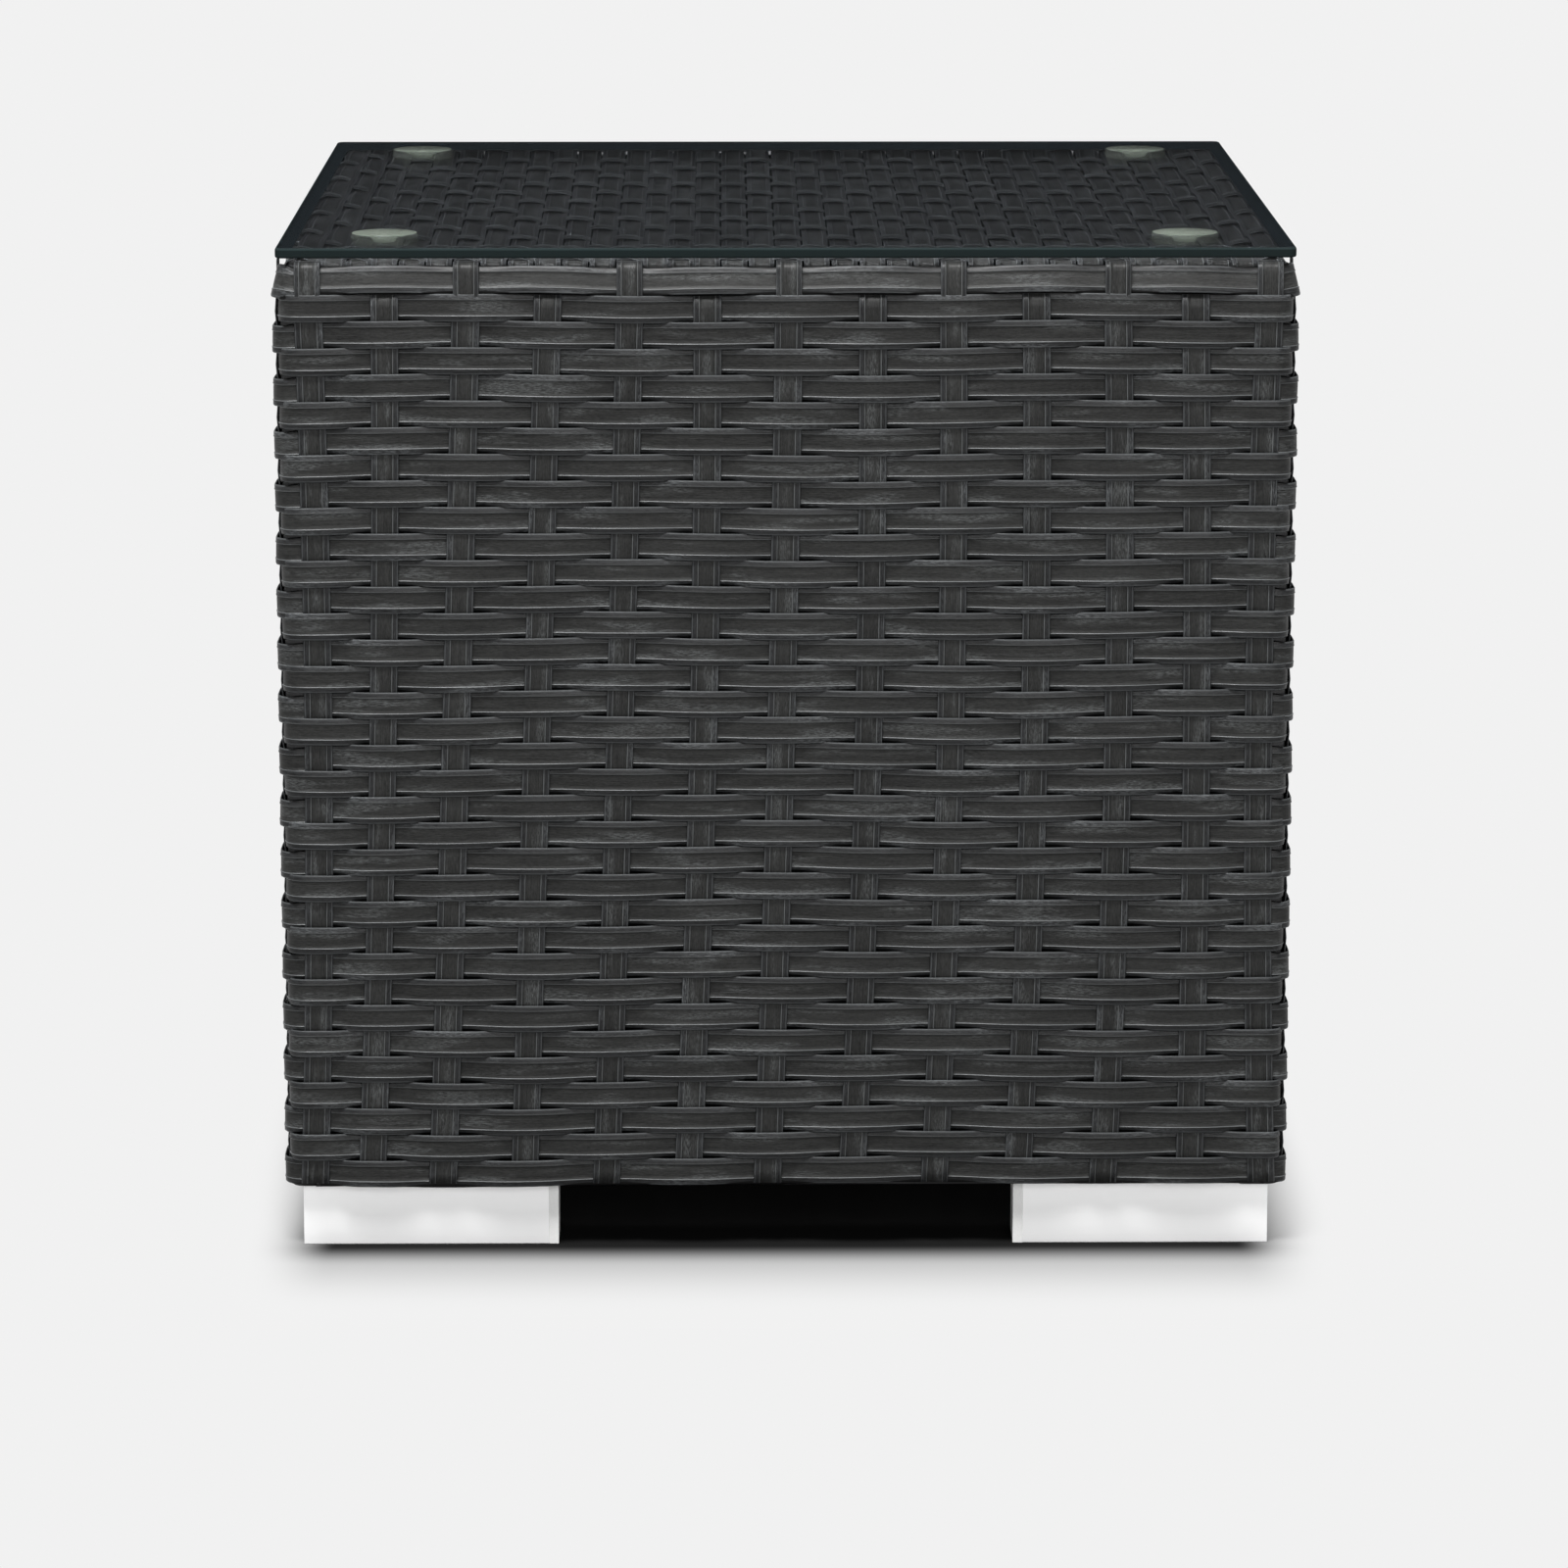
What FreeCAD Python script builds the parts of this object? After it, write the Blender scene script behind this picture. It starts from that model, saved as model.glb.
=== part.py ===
"""Woven cube side table that stands over a gas cylinder as its cover.

Millimetres, +Z up. The origin is on the floor under the middle of the table,
+X is to the right and -Y is the front.
"""
import FreeCAD
import Part
import math
import os

# Overall size, over the weave and from the floor to the top of the glass.
WIDTH = 508.0
DEPTH = 508.0
HEIGHT = 508.0

# Flat strand that everything is woven from.
STRAND_WIDTH = 13.0
STRAND_THICKNESS = 1.2
CROSSING_CLEARANCE = 0.05

# Side panels: upright stakes, and level rows that pass over and under them.
STAKES_PER_SIDE = 13
STAKE_INSET = 13.0
ROWS_PER_SIDE = 34
ROW_CLEARANCE = 0.25
EDGE_ROW_HEIGHT = 15.4
WEAVE_LIFT = 1.0

# Top panel: long strands from front to back, three to each stake. They lie in
# two layers, with the cross strands between.
LONG_STRANDS_PER_STAKE = 3
TOP_LAYERS = 3

# Welded frame of square tube.
TUBE_SIZE = 20.0
TUBE_WALL = 1.2
TOP_BAR_SPACING = 160.0

# Glass plate and the four clear cups that it lies on.
GLASS_THICKNESS = 5.0
GLASS_SETBACK = 3.0
GLASS_CORNER_RADIUS = 6.0
GLASS_BEVEL = 1.3
GLASS_GAP = 5.0
CUP_DIAMETER = 34.0
CUP_RIM = 0.8
CUP_NECK_DIAMETER = 12.0
CUP_NECK_HEIGHT = 3.4
CUP_SIDES = 12
CUP_STRAND_COUNT = 3
CUP_CROSS_STRAND_COUNT = 2
CUP_REAR_SHIFT = 6.0

# Feet: two mitred lengths of flat tube at each corner, plugged at their ends.
FOOT_HEIGHT = 32.0
FOOT_DEPTH = 25.0
FOOT_LENGTH = 129.0
FOOT_WALL = 1.6
FOOT_INSET = 10.0
PLUG_FLANGE = 5.0
PLUG_DEPTH = 12.0
PLUG_CLEARANCE = 0.1

# Hexagon screw that holds each foot leg to the bottom rail, and its holes.
SCREW_DIAMETER = 5.0
SCREW_LENGTH = 9.0
SCREW_HEAD_DIAMETER = 9.2
SCREW_HEAD_HEIGHT = 3.2
SCREW_CLEARANCE = 0.4
SCREW_FROM_CORNER = 84.0
SCREW_SIDES = 6
DRIVER_HOLE_DIAMETER = 12.0

# How far a shape that cuts another reaches past its faces.
CUT_OVERLAP = 1.0

# Half extents of the outer faces, along X and along Y.
HALF = (WIDTH / 2, DEPTH / 2)


def stake_places(half):
    """Distances of the stakes from the middle of a side, from one end to the other."""
    span = 2 * (half - STAKE_INSET)
    return [-half + STAKE_INSET + span * i / (STAKES_PER_SIDE - 1) for i in range(STAKES_PER_SIDE)]


def stake_pitch(half):
    return 2 * (half - STAKE_INSET) / (STAKES_PER_SIDE - 1)


# A row swings from one side of the stakes to the other. Its swing is what clears
# the edges of a stake, on the side where the stakes stand closest.
REACH = STRAND_THICKNESS + CROSSING_CLEARANCE
SWING = REACH / (1 - STRAND_WIDTH / min(stake_pitch(HALF[0]), stake_pitch(HALF[1])))
WEAVE_DEPTH = 2 * SWING + STRAND_THICKNESS

# Past the last stake a row keeps part of its swing up to the corner.
CORNER_RUN = STAKE_INSET - WEAVE_DEPTH / 2 - STRAND_THICKNESS
CORNER_SHARE = STRAND_WIDTH / 2 / CORNER_RUN
CORNER_SWING = (REACH - SWING * (1 - CORNER_SHARE)) / CORNER_SHARE

# Heights.
WEAVE_BOTTOM = FOOT_HEIGHT + WEAVE_LIFT
GLASS_UNDERSIDE = HEIGHT - GLASS_THICKNESS
WEAVE_TOP = GLASS_UNDERSIDE - GLASS_GAP
FRAME_TOP = WEAVE_TOP - TOP_LAYERS * STRAND_THICKNESS
EDGE_ROW_BOTTOM = WEAVE_TOP - EDGE_ROW_HEIGHT
ROW_PITCH = (EDGE_ROW_BOTTOM - WEAVE_BOTTOM) / ROWS_PER_SIDE

# Outer and inner faces of the frame, along X and along Y.
FRAME_OUT = (HALF[0] - WEAVE_DEPTH, HALF[1] - WEAVE_DEPTH)
FRAME_IN = (FRAME_OUT[0] - TUBE_SIZE, FRAME_OUT[1] - TUBE_SIZE)

# Outer faces of the feet, and the line of their screws.
FOOT_OUT = (HALF[0] - FOOT_INSET, HALF[1] - FOOT_INSET)
SCREW_LINE = ((FOOT_OUT[0] + FRAME_IN[0]) / 2, (FOOT_OUT[1] + FRAME_IN[1]) / 2)

# The four sides: name, quarter turns from the front, index of the axis along
# the side, and whether the rows start over the first stake.
SIDES = (("front", 0, 0, 0), ("right", 1, 1, 1), ("back", 2, 0, 0), ("left", 3, 1, 1))


def block(x0, x1, y0, y1, z0, z1):
    """Box between two corners."""
    corner = FreeCAD.Vector(x0, y0, z0)
    return Part.makeBox(x1 - x0, y1 - y0, z1 - z0, corner)


def quarter_turn(shape, turns):
    """Copy of a shape of the front, turned about the upright axis to another side."""
    copy = shape.copy()
    copy.rotate(FreeCAD.Vector(0, 0, 0), FreeCAD.Vector(0, 0, 1), 90 * turns)
    return copy


def raised(shape, dz):
    """Copy of a shape, moved up."""
    copy = shape.copy()
    copy.translate(FreeCAD.Vector(0, 0, dz))
    return copy


def closed_solid(faces):
    """Solid inside a closed set of flat faces, each given by its corners."""
    flat = [Part.Face(Part.makePolygon(list(face) + [face[0]])) for face in faces]
    shell = Part.makeShell(flat)
    shell.sewShape()
    solid = Part.makeSolid(shell)
    if solid.Volume < 0:
        solid.reverse()
    return solid


def stacked_solid(rings):
    """Solid through level rings of as many corners each, from the lowest up."""
    faces = [tuple(reversed(rings[0])), tuple(rings[-1])]
    for lower, upper in zip(rings, rings[1:]):
        for i in range(len(lower)):
            j = (i + 1) % len(lower)
            faces.append((lower[i], lower[j], upper[j], upper[i]))
    return closed_solid(faces)


def save(name, solids):
    """Write one node, a solid or a group of separate solids."""
    shape = solids[0] if len(solids) == 1 else Part.makeCompound(solids)
    shape.exportStep("parts/" + name + ".step")
    faces = sum(len(solid.Faces) for solid in solids)
    valid = all(solid.isValid() for solid in solids)
    print(name, len(solids), "solids", faces, "faces", "valid" if valid else "NOT VALID")


def row_sections(along, across, over_first, z0, z1):
    """Three-cornered sections of a row: two corners on its back, one on its crown.

    The row runs along X on the front, mitred to the corners of the table. Its
    back is flat and its crown is one strand thickness further out.
    """
    middle = across - WEAVE_DEPTH / 2
    z_crown = (z0 + z1) / 2

    def section(x, level, mitre):
        back = middle + level - STRAND_THICKNESS / 2
        crown = back + STRAND_THICKNESS
        x_back = x
        x_crown = x
        if mitre:
            x_back = mitre * (along - across + back)
            x_crown = mitre * (along - across + crown)
        return (
            FreeCAD.Vector(x_back, -back, z0),
            FreeCAD.Vector(x_back, -back, z1),
            FreeCAD.Vector(x_crown, -crown, z_crown),
        )

    signs = [1 if (i + over_first) % 2 else -1 for i in range(STAKES_PER_SIDE)]
    sections = [section(0, signs[0] * CORNER_SWING, -1)]
    for x, sign in zip(stake_places(along), signs):
        sections.append(section(x, sign * SWING, 0))
    sections.append(section(0, signs[-1] * CORNER_SWING, 1))
    return sections


def row(along, across, over_first, z0, z1):
    """One row of one side: a crowned strand that passes over and under the stakes."""
    sections = row_sections(along, across, over_first, z0, z1)
    last = len(sections) - 2
    faces = [sections[0], tuple(reversed(sections[-1]))]
    for i in range(len(sections) - 1):
        near = sections[i]
        far = sections[i + 1]
        for j in range(3):
            k = (j + 1) % 3
            if i in (0, last):
                faces.append((near[j], far[j], far[k]))
                faces.append((near[j], far[k], near[k]))
            else:
                faces.append((near[j], far[j], far[k], near[k]))
    return closed_solid(faces)


def side_rows(along, across, over_first):
    """All level rows of one side below its edge row."""
    height = ROW_PITCH - ROW_CLEARANCE
    first = row(along, across, over_first, WEAVE_BOTTOM, WEAVE_BOTTOM + height)
    second = row(along, across, 1 - over_first, WEAVE_BOTTOM, WEAVE_BOTTOM + height)
    kinds = (first, second)
    return [raised(kinds[i % 2], i * ROW_PITCH) for i in range(ROWS_PER_SIDE)]


def side_stakes(along, across):
    """Upright stakes of one side, at mid depth of the weave."""
    middle = -(across - WEAVE_DEPTH / 2)
    y0 = middle - STRAND_THICKNESS / 2
    y1 = middle + STRAND_THICKNESS / 2
    half = STRAND_WIDTH / 2
    return [block(x - half, x + half, y0, y1, WEAVE_BOTTOM, WEAVE_TOP) for x in stake_places(along)]


def make_side(name, turns, axis, phase):
    along = HALF[axis]
    across = HALF[1 - axis]
    over_first = (ROWS_PER_SIDE + phase) % 2
    rows = side_rows(along, across, over_first)
    edge = row(along, across, phase, EDGE_ROW_BOTTOM, WEAVE_TOP)
    save(name + "_rows", [quarter_turn(solid, turns) for solid in rows])
    save(name + "_edge_row", [quarter_turn(edge, turns)])
    save(name + "_stakes", [quarter_turn(solid, turns) for solid in side_stakes(along, across)])


def long_strand_places():
    """Distances of the long strands of the top from its middle, left to right."""
    count = (STAKES_PER_SIDE - 1) * LONG_STRANDS_PER_STAKE + 1
    pitch = stake_pitch(HALF[0]) / LONG_STRANDS_PER_STAKE
    return [-(HALF[0] - STAKE_INSET) + i * pitch for i in range(count)]


def make_top_weave():
    """Cross strands held between the long strands that pass under and over them."""
    half = STRAND_WIDTH / 2
    long_strands = []
    for i, x in enumerate(long_strand_places()):
        z = FRAME_TOP if i % 2 else FRAME_TOP + 2 * STRAND_THICKNESS
        strand = block(x - half, x + half, -FRAME_OUT[1], FRAME_OUT[1], z, z + STRAND_THICKNESS)
        long_strands.append(strand)
    z0 = FRAME_TOP + STRAND_THICKNESS
    z1 = z0 + STRAND_THICKNESS
    cross = [block(-FRAME_OUT[0], FRAME_OUT[0], y - half, y + half, z0, z1) for y in stake_places(HALF[1])]
    save("top_long_strands", long_strands)
    save("top_cross_strands", cross)


def tube(x0, x1, y0, y1, z0, z1, axis):
    """Square tube that fills a box and is open along one axis."""
    low = [x0, y0, z0]
    high = [x1, y1, z1]
    for i in range(3):
        if i != axis:
            low[i] += TUBE_WALL
            high[i] -= TUBE_WALL
    bore = block(low[0], high[0], low[1], high[1], low[2], high[2])
    return block(x0, x1, y0, y1, z0, z1).cut(bore)


def ring(x, y, z, radius, sides):
    """Corners of a level regular polygon."""
    turns = [2 * math.pi * i / sides for i in range(sides)]
    return [FreeCAD.Vector(x + radius * math.cos(t), y + radius * math.sin(t), z) for t in turns]


def hexagon(x, y, z0, z1, diameter):
    """Upright hexagonal bar, for a screw or the hole that it passes."""
    corners = ring(x, y, z0, diameter / 2, SCREW_SIDES)
    face = Part.Face(Part.makePolygon(corners + [corners[0]]))
    return face.extrude(FreeCAD.Vector(0, 0, z1 - z0))


def screw_places():
    """Screw centres, two to each foot: its quarter of the floor, X and Y."""
    places = []
    for sx in (-1, 1):
        for sy in (-1, 1):
            places.append((sx, sy, sx * (FOOT_OUT[0] - SCREW_FROM_CORNER), sy * SCREW_LINE[1]))
            places.append((sx, sy, sx * SCREW_LINE[0], sy * (FOOT_OUT[1] - SCREW_FROM_CORNER)))
    return places


def make_frame():
    """Posts, rails and the two bars that carry the top weave."""
    out_x, out_y = FRAME_OUT
    in_x, in_y = FRAME_IN
    for name_y, sy in (("front", -1), ("back", 1)):
        for name_x, sx in (("left", -1), ("right", 1)):
            xs = sorted((sx * in_x, sx * out_x))
            ys = sorted((sy * in_y, sy * out_y))
            post = tube(xs[0], xs[1], ys[0], ys[1], FOOT_HEIGHT, FRAME_TOP, 2)
            save(name_y + "_" + name_x + "_post", [post])
    levels = (("bottom", FOOT_HEIGHT), ("top", FRAME_TOP - TUBE_SIZE))
    hole = SCREW_DIAMETER + SCREW_CLEARANCE
    holes = [
        hexagon(x, y, FOOT_HEIGHT - CUT_OVERLAP, FOOT_HEIGHT + TUBE_WALL + CUT_OVERLAP, hole)
        for sx, sy, x, y in screw_places()
    ]
    for level, z0 in levels:
        z1 = z0 + TUBE_SIZE
        rails = {
            "front": tube(-in_x, in_x, -out_y, -in_y, z0, z1, 0),
            "back": tube(-in_x, in_x, in_y, out_y, z0, z1, 0),
            "left": tube(-out_x, -in_x, -in_y, in_y, z0, z1, 1),
            "right": tube(in_x, out_x, -in_y, in_y, z0, z1, 1),
        }
        for side, rail in rails.items():
            if level == "bottom":
                rail = rail.cut(Part.makeCompound(holes))
            save(side + "_" + level + "_rail", rail.Solids)
    for name, sx in (("left", -1), ("right", 1)):
        x = sx * TOP_BAR_SPACING / 2
        x0 = x - TUBE_SIZE / 2
        bar = tube(x0, x0 + TUBE_SIZE, -in_y, in_y, FRAME_TOP - TUBE_SIZE, FRAME_TOP, 1)
        save(name + "_top_bar", [bar])


def foot_leg(along, across):
    """Front leg of the front left foot: flat tube along X, mitred at the corner."""
    x0 = -along
    x1 = -along + FOOT_LENGTH - PLUG_FLANGE
    y0 = -across
    y1 = -across + FOOT_DEPTH
    wall = FOOT_WALL
    outer = block(x0, x1, y0, y1, 0, FOOT_HEIGHT)
    inner = block(x0 - CUT_OVERLAP, x1 + CUT_OVERLAP, y0 + wall, y1 - wall, wall, FOOT_HEIGHT - wall)
    corners = [
        FreeCAD.Vector(x0, y0, -CUT_OVERLAP),
        FreeCAD.Vector(x0 + FOOT_DEPTH, y1, -CUT_OVERLAP),
        FreeCAD.Vector(x0, y1, -CUT_OVERLAP),
        FreeCAD.Vector(x0, y0, -CUT_OVERLAP),
    ]
    depth = FreeCAD.Vector(0, 0, FOOT_HEIGHT + 2 * CUT_OVERLAP)
    mitre = Part.Face(Part.makePolygon(corners)).extrude(depth)
    return outer.cut(inner).cut(mitre)


def foot_plug(along, across):
    """Plastic plug in the open end of that leg."""
    x0 = -along + FOOT_LENGTH - PLUG_FLANGE
    y0 = -across
    fit = FOOT_WALL + PLUG_CLEARANCE
    flange = block(x0, x0 + PLUG_FLANGE, y0, y0 + FOOT_DEPTH, 0, FOOT_HEIGHT)
    spigot = block(x0 - PLUG_DEPTH, x0, y0 + fit, y0 + FOOT_DEPTH - fit, fit, FOOT_HEIGHT - fit)
    return flange.fuse(spigot).removeSplitter()


def swapped(shape):
    """Mirror image of a shape across the upright plane X = Y."""
    return shape.mirror(FreeCAD.Vector(0, 0, 0), FreeCAD.Vector(1, -1, 0))


def foot_quarter(shape, sx, sy):
    """Copy of a shape of the front left quarter in another quarter."""
    copy = shape
    if sx > 0:
        copy = copy.mirror(FreeCAD.Vector(0, 0, 0), FreeCAD.Vector(1, 0, 0))
    if sy > 0:
        copy = copy.mirror(FreeCAD.Vector(0, 0, 0), FreeCAD.Vector(0, 1, 0))
    return copy


def make_feet():
    """Four L-shaped feet with their plugs and screws."""
    head_z = FOOT_HEIGHT - FOOT_WALL
    legs = [foot_leg(FOOT_OUT[0], FOOT_OUT[1]), swapped(foot_leg(FOOT_OUT[1], FOOT_OUT[0]))]
    plugs = [foot_plug(FOOT_OUT[0], FOOT_OUT[1]), swapped(foot_plug(FOOT_OUT[1], FOOT_OUT[0]))]
    hole = SCREW_DIAMETER + SCREW_CLEARANCE
    cuts = []
    screws = []
    for sx, sy, x, y in screw_places():
        cuts.append(hexagon(x, y, head_z - CUT_OVERLAP, FOOT_HEIGHT + CUT_OVERLAP, hole))
        cuts.append(hexagon(x, y, -CUT_OVERLAP, FOOT_WALL + CUT_OVERLAP, DRIVER_HOLE_DIAMETER))
        head = hexagon(x, y, head_z - SCREW_HEAD_HEIGHT, head_z, SCREW_HEAD_DIAMETER)
        shank = hexagon(x, y, head_z, head_z + SCREW_LENGTH, SCREW_DIAMETER)
        screws.append(head.fuse(shank).removeSplitter())
    cutter = Part.makeCompound(cuts)
    for name_y, sy in (("front", -1), ("back", 1)):
        for name_x, sx in (("left", -1), ("right", 1)):
            name = name_y + "_" + name_x + "_foot"
            tubes = [foot_quarter(leg, sx, sy).cut(cutter) for leg in legs]
            save(name, [solid for shape in tubes for solid in shape.Solids])
            ends = [foot_quarter(plug, sx, sy) for plug in plugs]
            save(name + "_plugs", [solid for shape in ends for solid in shape.Solids])
    save("foot_screws", [solid for shape in screws for solid in shape.Solids])


def make_cups():
    """Clear cups between the top weave and the glass.

    Each neck stands on a low long strand, between the high strands beside it
    and clear of the cross strands. The counts are of long strands outside a
    cup and of cross strands in front of it.
    """
    seat = FRAME_TOP + STRAND_THICKNESS
    top = GLASS_UNDERSIDE
    neck = CUP_NECK_DIAMETER / 2
    rim = CUP_DIAMETER / 2
    outline = ((neck, seat), (neck, seat + CUP_NECK_HEIGHT), (rim, top - CUP_RIM), (rim, top))
    x = abs(long_strand_places()[CUP_STRAND_COUNT])
    places = stake_places(HALF[1])
    y_front = (places[CUP_CROSS_STRAND_COUNT - 1] + places[CUP_CROSS_STRAND_COUNT]) / 2
    y_rear = (places[-2] + places[-1]) / 2 - CUP_REAR_SHIFT
    cups = []
    for px in (-x, x):
        for py in (y_front, y_rear):
            rings = [ring(px, py, z, radius, CUP_SIDES) for radius, z in outline]
            cups.append(stacked_solid(rings))
    save("glass_cups", cups)


def make_glass():
    """Tempered plate with rounded corners and a bevelled top edge."""
    half_x = HALF[0] - GLASS_SETBACK
    half_y = HALF[1] - GLASS_SETBACK
    plate = block(-half_x, half_x, -half_y, half_y, GLASS_UNDERSIDE, HEIGHT)
    upright = [edge for edge in plate.Edges if edge.BoundBox.ZLength > GLASS_THICKNESS / 2]
    plate = plate.makeFillet(GLASS_CORNER_RADIUS, upright)
    upper = [edge for edge in plate.Edges if edge.BoundBox.ZMin > HEIGHT - GLASS_THICKNESS / 2]
    save("glass_top", plate.makeChamfer(GLASS_BEVEL, upper).Solids)


def main():
    os.makedirs("parts", exist_ok=True)
    print("swing", round(SWING, 3), "corner swing", round(CORNER_SWING, 3))
    print("weave depth", round(WEAVE_DEPTH, 3), "row pitch", round(ROW_PITCH, 3))
    for name, turns, axis, phase in SIDES:
        make_side(name, turns, axis, phase)
    make_top_weave()
    make_frame()
    make_feet()
    make_cups()
    make_glass()


main()
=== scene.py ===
"""Woven cube side table that stands over a gas cylinder, dressed for a studio view."""
import math
import random

import bmesh
import bpy
from mathutils import Matrix, Vector


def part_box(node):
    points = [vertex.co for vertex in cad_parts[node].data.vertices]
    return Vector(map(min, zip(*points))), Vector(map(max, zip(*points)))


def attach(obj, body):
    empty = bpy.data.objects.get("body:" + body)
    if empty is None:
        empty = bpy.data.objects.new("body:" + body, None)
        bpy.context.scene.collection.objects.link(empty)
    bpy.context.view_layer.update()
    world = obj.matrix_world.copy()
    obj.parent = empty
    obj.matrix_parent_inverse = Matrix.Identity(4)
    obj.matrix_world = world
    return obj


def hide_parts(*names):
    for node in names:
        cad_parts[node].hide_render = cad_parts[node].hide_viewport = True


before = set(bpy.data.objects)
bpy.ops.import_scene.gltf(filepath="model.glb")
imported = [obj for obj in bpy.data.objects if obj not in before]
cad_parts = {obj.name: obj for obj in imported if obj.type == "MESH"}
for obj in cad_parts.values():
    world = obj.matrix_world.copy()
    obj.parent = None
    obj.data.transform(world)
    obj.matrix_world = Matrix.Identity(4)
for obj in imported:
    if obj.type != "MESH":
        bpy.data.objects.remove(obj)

bl_info = {
    "name": "Woven Tank Cover Table",
    "version": (1, 0, 0),
    "blender": (4, 5, 0),
    "location": "View3D > Sidebar > Woven Table",
    "description": "Weaves, frames and finishes a cube side table that covers a gas cylinder",
    "category": "Object",
}

MM = 0.001
SIDES = ("front", "right", "back", "left")
CORNERS = ("front_left", "front_right", "back_left", "back_right")

# Places read from the construction frame, in metres.
ROWS_LOW, ROWS_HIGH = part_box("front_rows")
EDGE_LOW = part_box("front_edge_row")[0]
STAKES_LOW, STAKES_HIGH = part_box("front_stakes")
TOP_LOW, TOP_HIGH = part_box("top_long_strands")
GLASS_LOW, GLASS_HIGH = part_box("glass_top")
FOOT_HALF = -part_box("front_left_foot")[0][0]
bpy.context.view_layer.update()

STAKES = 13
ROWS = 34
LONG_STRANDS = 37
STRAND = 13.0 * MM
WEAVE_OUT = -ROWS_LOW[1]
WEAVE_IN = -ROWS_HIGH[1]
WEAVE_MIDDLE = (WEAVE_OUT + WEAVE_IN) / 2
STAKE_PITCH = (STAKES_HIGH[0] - STAKES_LOW[0] - STRAND) / (STAKES - 1)
ROW_PITCH = (EDGE_LOW[2] - ROWS_LOW[2]) / ROWS

# How far the front's stakes stand to the right of their even spacing, in mm.
FRONT_AT_RIM = (5.9, 3.5, 3.5, 3.5, 3.5, 1.5, 1.5, 2.5, 2, 2.5, 2.5, 0.5, -3)
FRONT_AT_MIDDLE = (8.3, 0.2, -3.7, -3.6, -2.5, -1.1, -2.5, 0.9, 1.5, 3.1, 4.7, 3.7, -5.6)
FRONT_AT_FOOT = (3.5, -8, -12.4, -11.5, -10.3, -9.4, -9.4, -7, -5.5, -3.7, -0.8, 2.7, -1.0)

# How far the other sides' first and last stakes keep off the corners, in mm.
CORNER_STAKES = {0: 5, STAKES - 1: -4}

# How far the front's rows have crept up: height in metres, and rise in mm.
FRONT_ROW_RISE = ((0.03, 0.7), (0.10, 0.9), (0.22, 2.6), (0.50, 2.4))

# Steps of a strand between two crossings, round a corner, across the top and over the rim.
SPAN_STEPS = 7
CORNER_STEPS = 10
TOP_STEPS = 6
RIM_STEPS = 5

# How far before and after its bend a row's corner stretch runs.
CORNER_LEAD = 6 * MM

# How much deeper the stakes at the corners stand, and how high the stakes' feet end.
CORNER_STAKE_DEPTH = 0.7 * MM
STAKE_FOOT = 0.8 * MM

# Frame tube, with a rounder outer edge on the posts, behind the weave's round corners.
TUBE_WALL = 1.2 * MM
POST_OUTER_RADIUS = 6 * MM

# Flat tube of the feet, and the flanges of the plugs in its ends.
FOOT_DEPTH = 25 * MM
FOOT_WALL = 1.6 * MM
PLUG_FLANGE = 5 * MM
PLUG_EDGE = 0.3 * MM

# Cups: the funnel's points in mm, as radius and height over the seat, and the rim's below the top.
CUP_FUNNEL = ((0, 0), (5.2, 0), (5.7, 0.4), (5.9, 1.3), (7.2, 2.2), (10.5, 3.0), (14.5, 3.7))
CUP_RIM = ((16.4, -0.35), (16.2, 0), (0, 0))

# The cups' radius, their skirt's wall, and how far their seat lies above the solid cups' foot.
CUP_RADIUS = 17 * MM
CUP_SKIRT = 0.5 * MM
CUP_LIFT = 3 * MM
CUP_STEPS = 40

# Where the painted shadow on the floor begins and ends past the feet: beside them, close ahead, far ahead.
SHADOW_BESIDE = (-16 * MM, 38 * MM)
SHADOW_CLOSE = (4 * MM, 40 * MM)
SHADOW_FAR = (7 * MM, 148 * MM)

# Soft lamps: name, place, size, watts, and the point that each faces.
LAMPS = (
    ("high_key", (-0.4, -1.25, 2.75), (1.0, 0.6), 120, (0, -0.2, 0.3)),
    ("front_fill", (0.3, -3.4, 1.5), (1.6, 1.2), 36, (0, 0, 0.25)),
    ("overhead_soft", (0, 0.5, 2.7), (2.4, 1.8), 18, (0, 0, 0.3)),
    ("left_soft", (-2.8, -0.6, 1.6), (1.2, 1.6), 9, (0, 0, 0.3)),
    ("right_soft", (2.8, -0.4, 1.6), (1.2, 1.6), 8, (0, 0, 0.3)),
)


def length_setting(name, description, default):
    """Property in metres that can be set to a hundredth of a millimetre."""
    return bpy.props.FloatProperty(
        name=name, description=description, default=default, precision=5, unit="LENGTH")


def colour_setting(name, description, default):
    """Property that holds a colour without alpha."""
    return bpy.props.FloatVectorProperty(
        name=name, description=description, default=default, subtype="COLOR", size=3, min=0, max=1)


class WeaveSettings(bpy.types.PropertyGroup):
    """Sizes and colours of the woven strand."""

    swing: length_setting("Swing", "How far a row swings out of and into the middle of the weave", 1.4 * MM)
    curl: length_setting(
        "Curl", "How far a strand's flanges fold back where it dives under a stake", 0.6 * MM)
    corner_radius: length_setting("Corner radius", "Radius at which the rows turn the corners", 9 * MM)
    stake_bow: length_setting("Stake bow", "How far a stake bows out where it shows", 0.55 * MM)
    core_colour: colour_setting("Core colour", "Colour between the two ridges", (0.0148, 0.0150, 0.0145))
    rim_colour: colour_setting("Rim colour", "Colour outside the two ridges", (0.0132, 0.0137, 0.0144))
    # The ridge colour is a painted highlight rather than wear.
    ridge_highlight_colour: colour_setting("Ridge colour", "Worn colour of the two ridges", (0.15, 0.16, 0.165))
    roughness: bpy.props.FloatProperty(
        name="Roughness", description="Roughness of the strand", default=0.42, min=0, max=1)


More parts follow.
